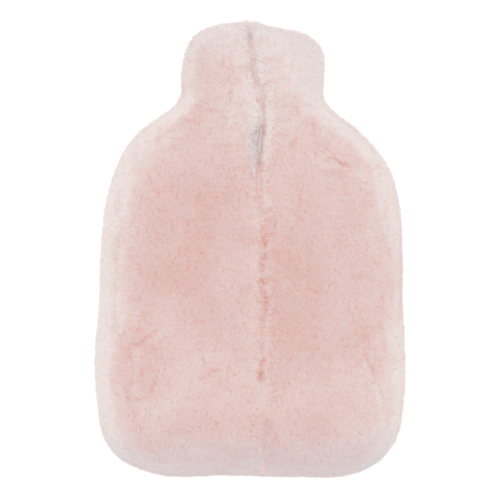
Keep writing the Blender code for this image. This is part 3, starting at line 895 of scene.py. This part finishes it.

# a map named OFBake to bake the fibres' colours on: each fibre has a square of its own
CELLS, CELL_EDGE, CELL_USED = 320, 0.1, 0.8
number, along, across = attribute("number"), attribute("along"), attribute("across")
column, row = worked("MODULO", number, CELLS), worked("FLOOR", worked("DIVIDE", number, CELLS))
u, v = (
    worked("DIVIDE", worked("ADD", cell, worked("MULTIPLY_ADD", within, CELL_USED, CELL_EDGE)), CELLS)
    for cell, within in ((column, across), (row, along))
)
fibres = stored(fibres, "OFBake", joined(u, v), "FLOAT2", "CORNER")
fibres = wool_node("GeometryNodeSetMaterial", {"Geometry": fibres, "Material": given["Wool"]})
add_node(wool_tree, "NodeGroupOutput", {0: fibres})

# The wool's finish: deeper at the root, pale at the tip, paler towards the rim as painted rim
# light, painted shade in its cracks, between tufts and in grey and cool patches, and each
# tuft and fibre a little different.
wool_finish = bpy.data.materials.new("pink wool")
wool_finish.use_nodes = True
tree = wool_finish.node_tree


def sum_of(tree, *terms):
    """The sum of values, each with its weight."""
    total = maths(tree, "MULTIPLY", *terms[0])
    for value, weight in terms[1:]:
        total = maths(tree, "ADD", total, maths(tree, "MULTIPLY", value, weight))
    return total


# painted crack shade: parted wool is painted deeper in colour, and more so towards its tips
blush = maths(tree, "MULTIPLY", read(tree, "blush"), maths(tree, "POWER", read(tree, "along"), 1.6))
depth = sum_of(
    tree,
    (read(tree, "along"), 0.66),
    (read(tree, "tuft_tint"), 0.12),
    (read(tree, "fibre_tint"), 0.12),
    (blush, -0.95),
    # painted shade between the tufts
    (read(tree, "border"), -0.22),
)
rosy = ramp(
    tree, depth, (0.0, (0.95, 0.52, 0.44)), (0.35, (0.90, 0.63, 0.585)), (0.75, (0.86, 0.69, 0.672))
)
light = ramp(
    tree, depth, (0.0, (0.95, 0.76, 0.71)), (0.35, (0.96, 0.88, 0.86)), (0.75, (0.97, 0.95, 0.945))
)
tint = mixed(tree, sum_of(tree, (read(tree, "pale"), 1.0), (blush, -0.8)), rosy, light)
# painted cool shade: the wool greyed towards lilac where shade falls
tint = mixed(tree, read(tree, "cool"), tint, (0.74, 0.72, 0.78, 1))
# painted shade of the cracks, in a deep coral
tint = mixed(tree, maths(tree, "MULTIPLY", blush, 0.7), tint, (0.68, 0.38, 0.31, 1))
# painted grey shade in the parted wool by the pull, and the dark spot at the neck
tint = mixed(tree, read(tree, "lilac"), tint, (0.50, 0.44, 0.47, 1))
surface(
    wool_finish, tint, 0.1, Roughness=0.9, Sheen_Weight=0.35, Sheen_Roughness=0.5, Specular_IOR_Level=0.15
)

# How the wool is brushed on each skin.
OUTWARDS, DOWN = 0.35, -1.0
SWIRLS = ((42, 0.62, 3), (14, 0.5, 4))  # width, turn and seed
LEAN, LEAN_VARIES, LEAST_LEAN = 0.8, 0.22, 0.6
LEAST_SLANT = 0.6
OVER_LINE, OVER_SEWN_LINE = 0.5, 0.6  # how far the halves' wool leans over the line, and more
SEWN_FROM = -100  # below this y, where the zip has ended
# How long it is.
PROUD_AT_RIM, LESS_ON_SIDES = 1.1, 0.8
PROUD_AT_NECK, LESS_AT_BASE = 0.6, 0.9
OVER_SEAM, LONGER_AT_SEAM = 0.7, 0.45
PARTING_MIDDLE, PARTING_HALF = 96, 30
PARTED_LEFT, PARTED_RIGHT = 1.4, -0.3  # how far short of the pull's middle the wool ends
# Its painted shade, beside and below the pull where the wool is parted: which half, from where to where,
# and how dark.
SHADES = (
    (-1, (2.0, 98, 5.6, 87), 0.75),
    (1, (13.0, 104, 12.6, 84), 0.7),
    (1, (11.0, 79, 10.4, 69), 0.75),
)
SHADE_HALF = 1.5
NECK_SPOT = (-0.6, 175, 2.3, 3.0)  # x, y, half width and half height
SHADE_BY_PULL = 0.25


def brushed(co, normal, flat, line, on_back):
    """Which way the wool lies: down and outwards in swirls, outwards at the rim."""
    x, y = co[:, 0], co[:, 1]
    swirl = sum(turn * uneven(co, width, seed) for width, turn, seed in SWIRLS)
    side = OUTWARDS * np.tanh((x - line) / 20)
    ways = [side * np.cos(swirl) - DOWN * np.sin(swirl), side * np.sin(swirl) + DOWN * np.cos(swirl)]
    ways = np.stack([*ways, np.zeros(len(x))], axis=1)
    lean = np.maximum(LEAN + LEAN_VARIES * uneven(co, 24, 5), LEAST_LEAN)
    outwards = normal[:, :2] / np.maximum(flat, 0.05)[:, None]
    brink = smooth((flat - 0.05) / 0.35)[:, None]
    ways[:, :2] = ways[:, :2] * (1 - 0.8 * brink) + 0.9 * outwards * brink
    if on_back:  # the two halves' wool leans over the line where they meet
        crossing = OVER_LINE + OVER_SEWN_LINE * smooth((SEWN_FROM - y) / 15)
        ways[:, 0] -= crossing * bell((x - line) / 12) * np.sign(x - line)
    lie = ways * lean[:, None]
    lie -= (lie * normal).sum(1)[:, None] * normal
    # nowhere does the wool point straight up, where it would show its gaps
    way = (normal + lie)[:, :2]
    slant = np.maximum(np.linalg.norm(way, axis=1), 1e-3)
    short = np.maximum(LEAST_SLANT * (normal + lie)[:, 2] - slant, 0)
    lie[:, :2] += (short / slant)[:, None] * way
    return lie


def to_meet(reach, parting, across, x, y, line, on_back):
    """The reach at which the wool of both halves meets, and round the pull leaves it free, and
    how near it is to the line where it meets."""
    by_line = bell((x - line) / 8, power=4) * (1 - parting) * on_back
    tops = line - TOPS_LEFT
    past = 0.4 + 0.8 * smooth((60 - y) / 20)  # the tips pass the line, less over the zip's top
    to_line = (np.abs(x - tops) + past) / (FIBRE * np.maximum(np.abs(across), 0.35))
    meets = by_line * (across * (tops - x) > 0) * smooth((y + 175) / 12)
    reach = reach + meets * (np.clip(to_line, reach, 1.6 * reach) - reach)
    reach *= 1 - 0.35 * bell((x - line) / 9) * smooth((-y - 176) / 6)  # no nub at the base's end
    pull_middle = 7.7 + (y - 79) * 0.1
    goal = pull_middle - np.where(x < line, PARTED_LEFT, PARTED_RIGHT)
    goal = np.where((y > 80) & (y < 104), goal, line + 1.5 * np.sign(line - x))
    closing = np.clip(np.abs(goal - x) / (FIBRE * np.maximum(np.abs(across), 0.3)), 0.4, 2.2)
    return reach + parting * (closing - reach), by_line


def paleness_of(co, flat, line, parting, base_end, on_back):
    """How pale the wool is, from 0 to 1: paler on its sides, a painted rim light; deeper in
    patches, some of them painted light and shade, and by cracks; paler in the parting, painted light.
    """
    x, y, z = co.T
    pale = np.full(len(x), 0.45)
    if on_back:
        # painted rim light: paler where the skin slopes away towards the rim
        pale = 0.6 * smooth((flat - 0.22) / 0.62) + 0.12 * smooth(flat / 0.35)
        pale -= 0.3 * smooth((flat - 0.9) / 0.1) * smooth((50 - z) / 10) * (1 - base_end)
    for _, middle_x, middle_y, wide, high, depth in TINTS:
        pale = pale - depth * 0.5 * bell((x - middle_x) / wide, (y - middle_y) / high)
    # a little deeper beside the big cracks, painted crack shade
    for _, corners, *_ in CRACKS:
        away = [from_segment(co[:, :2], (*a, *b)) for a, b in zip(corners, corners[1:])]
        pale = pale - 0.08 * bell(np.min(away, axis=0) / 2.5)
    pale += 0.06 * bell((x - line + 2) / 6) * smooth((60 - y) / 20) * smooth((y + 105) / 15)
    # the parting is painted paler, a painted light where its walls lie in shade
    return np.clip(pale + 0.45 + 0.1 * uneven(co, 26, 7) + 0.5 * parting, 0, 1)


def dark_marks(x, y, line):
    """Where the back's wool is painted grey: painted shade by the pull, and a dark spot over
    the zip's top end.
    """
    spot_x, spot_y, wide, high = NECK_SPOT
    marks = SHADE_BY_PULL * bell((x - 3) / 6) * bell((y - 84) / 21, power=4) * (x < line)
    marks = np.maximum(marks, bell((x - spot_x) / wide, (y - spot_y) / high))
    for half, segment, dark in SHADES:
        away = from_segment(np.stack([x, y], axis=1), segment) / SHADE_HALF
        marks = np.maximum(marks, dark * bell(away) * (np.sign(x - line) == half))
    return marks


def set_up_wool(name):
    """Stores on a skin how the wool grows from each of its vertices. Gives back their y, and
    how thickly the wool stands there and lies pressed."""
    mesh, on_back = hides[name], name != "front_skin"
    co, normal = points_of(mesh)
    x, y, z = co.T
    line = meeting_line(y)
    flat = np.linalg.norm(normal[:, :2], axis=1)  # 0 where the skin lies level, 1 where it's upright
    rim, steep = smooth((flat - 0.1) / 0.5), outer_rim(co, flat)
    base_end = smooth((-y - 140) / 25)
    lie = brushed(co, normal, flat, line, on_back)
    proud = PROUD + PROUD_AT_RIM * steep - LESS_ON_SIDES * smooth((flat - 0.5) / 0.4)
    proud += PROUD_AT_NECK * smooth((y - 150) / 30) * rim
    proud -= LESS_AT_BASE * smooth((-y - 140) / 30) * rim
    reach = np.ones(len(x)) + 0.08 * uneven(co, 11, 6)
    reach *= (WOOL_FOOT + RIM_FOOT * steep + proud) / FIBRE * np.sqrt(1 + (lie**2).sum(1))
    # it closes over the side seam
    over_seam = z - SEAM
    closes = bell(over_seam / 5) * smooth((flat - 0.2) / 0.3)
    lie[:, 2] -= OVER_SEAM * np.sign(over_seam) * closes
    reach *= 1 + LONGER_AT_SEAM * closes
    # the walls of the parting carry loose wool that closes over the slider, and lower down
    # only comes up to the sides of the pull
    parting = bell((y - PARTING_MIDDLE) / PARTING_HALF, power=4) * (np.abs(x - line) < 14)
    parting *= smooth((0.85 - normal[:, 2]) / 0.4) * on_back
    lie[:, 2] += 0.5 * parting
    across = (normal + lie)[:, 0] / np.linalg.norm(normal + lie, axis=1)
    reach, by_line = to_meet(reach, parting, across, x, y, line, on_back)
    # painted cool shade: lilac grey on the front skin's sides, at the back's base end and round the
    # neck's rim
    cool = 0.22 * smooth((flat - 0.2) / 0.4)
    if on_back:
        cool = 0.3 * smooth((-135 - y) / 40) + 0.12 * smooth((y - 110) / 30) * rim
    for label, values in (
        ("stand", normal),
        ("lie", lie),
        ("reach", reach),
        ("by_line", by_line * smooth((60 - y) / 20)),
        ("ragged", 0.24 + 0.46 * steep),
        ("few_long", 1 - 0.6 * steep),
        ("gather", 1 - 0.9 * rim),
        ("coarse", 1 - 0.5 * rim),
        ("upwards", 2.0 * (1 - 0.85 * steep * (1 - base_end)) * on_back + 0.1),
        ("pale", paleness_of(co, flat, line, parting, base_end, on_back)),
        ("cool", cool),
        ("lilac", dark_marks(x, y, line) * on_back),
    ):
        put(mesh, label, values)
    wool, under = take(mesh, "wool"), take(mesh, "under")
    standing = smooth((wool - 0.25) / 0.5) * (1 - under) * (1 + parting + 0.6 * closes)
    return y, standing, wool * under


wool_objects = {name: [] for name, *_ in SKINS}
# stored for the growing only, and taken off the grown wool
GROWN_FROM = (
    "growth", "wool", "under", "stand", "lie", "reach", "by_line", "ragged", "few_long",
    "gather", "coarse", "upwards", "number", "across",
)


def grow(piece_name, skin, growth, fibres, seed, **sizes):
    """Grows one piece of wool on a skin, where growth is over 0, with fibres to a square mm."""
    put(hides[skin], "growth", growth)
    piece = show(piece_name, hides[skin].copy())
    apply_nodes(piece, wool_tree, Wool=wool_finish, Seed=seed, Fibres=fibres / MM**2, **sizes)
    values = piece.data.attributes
    for name in GROWN_FROM:
        if name in values:
            values.remove(values[name])
    wool_objects[skin].append(piece)


grown_on = {name: set_up_wool(name) for name, *_ in SKINS}
seed = 10
for half in ("back_left", "back_right"):
    y, standing, _ = grown_on[half + "_skin"]
    for part, low, high, fibres in BACK_PARTS:
        growth = ((y >= low) & (y < high)) * standing
        grow(half + "_wool_" + part, half + "_skin", growth, fibres, seed)
        seed += 1
_, standing, pressed = grown_on["front_skin"]
grow("front_wool_sides", "front_skin", standing, SIDES_FIBRES, seed, Cracks=0.0)
grow(
    "front_wool_under", "front_skin", pressed, UNDER_FIBRES, 20,
    Width=UNDER_WIDTH * MM, Length=UNDER_FIBRE * MM, Cracks=0.0,
)
bpy.data.objects.remove(leaf_piece)
bpy.data.objects.remove(cracks_piece)

for name, _, flat, area in SKINS:
    piece = skin_pieces[name]
    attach(piece, "root")
    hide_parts(name)
    for wool_piece in wool_objects[name]:
        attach(wool_piece, "root")
